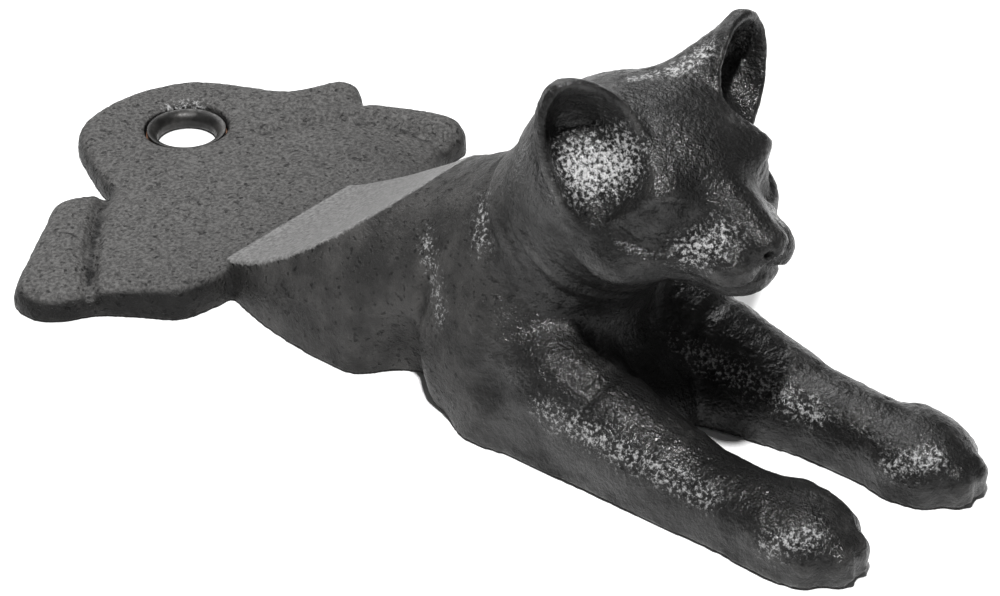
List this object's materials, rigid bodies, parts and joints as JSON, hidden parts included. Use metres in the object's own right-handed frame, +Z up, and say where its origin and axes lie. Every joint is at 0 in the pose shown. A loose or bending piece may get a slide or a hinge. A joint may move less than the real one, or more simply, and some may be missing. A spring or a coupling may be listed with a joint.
{
  "type": "shutter dog holdback",
  "caption": "Cast-iron shutter dog holdback shaped as a lying cat: flat plate hindquarters end in a tail loop that turns on a flared bush, and the raised head, chest and paws stop the shutter.",
  "frame": {"origin": "middle of the foot of the whole box, on the surface the dog is screwed to", "axes": "+X forward to the paws, +Y to the cat's left, +Z up from the mounting surface"},
  "size_m": [0.1974, 0.0972, 0.0722],
  "materials": {
    "black_cast_iron": "rough sand-cast surface under black wax, satin with broken bright glints",
    "dark_steel": "dark oiled steel, worn at the lip",
    "fibre": "matt vulcanised fibre"
  },
  "bodies": {
    "pivot": {"pivot_bush": "dark_steel", "friction_washer": "fibre"},
    "dog": {"cat_casting": "black_cast_iron"}
  },
  "joints": [
    {"name": "dog_swivel", "type": "hinge", "parent": "pivot", "child": "dog", "pos_m": [-0.08004, 0.01366, 0], "axis": [0, 0, 1], "continuous": true}
  ]
}
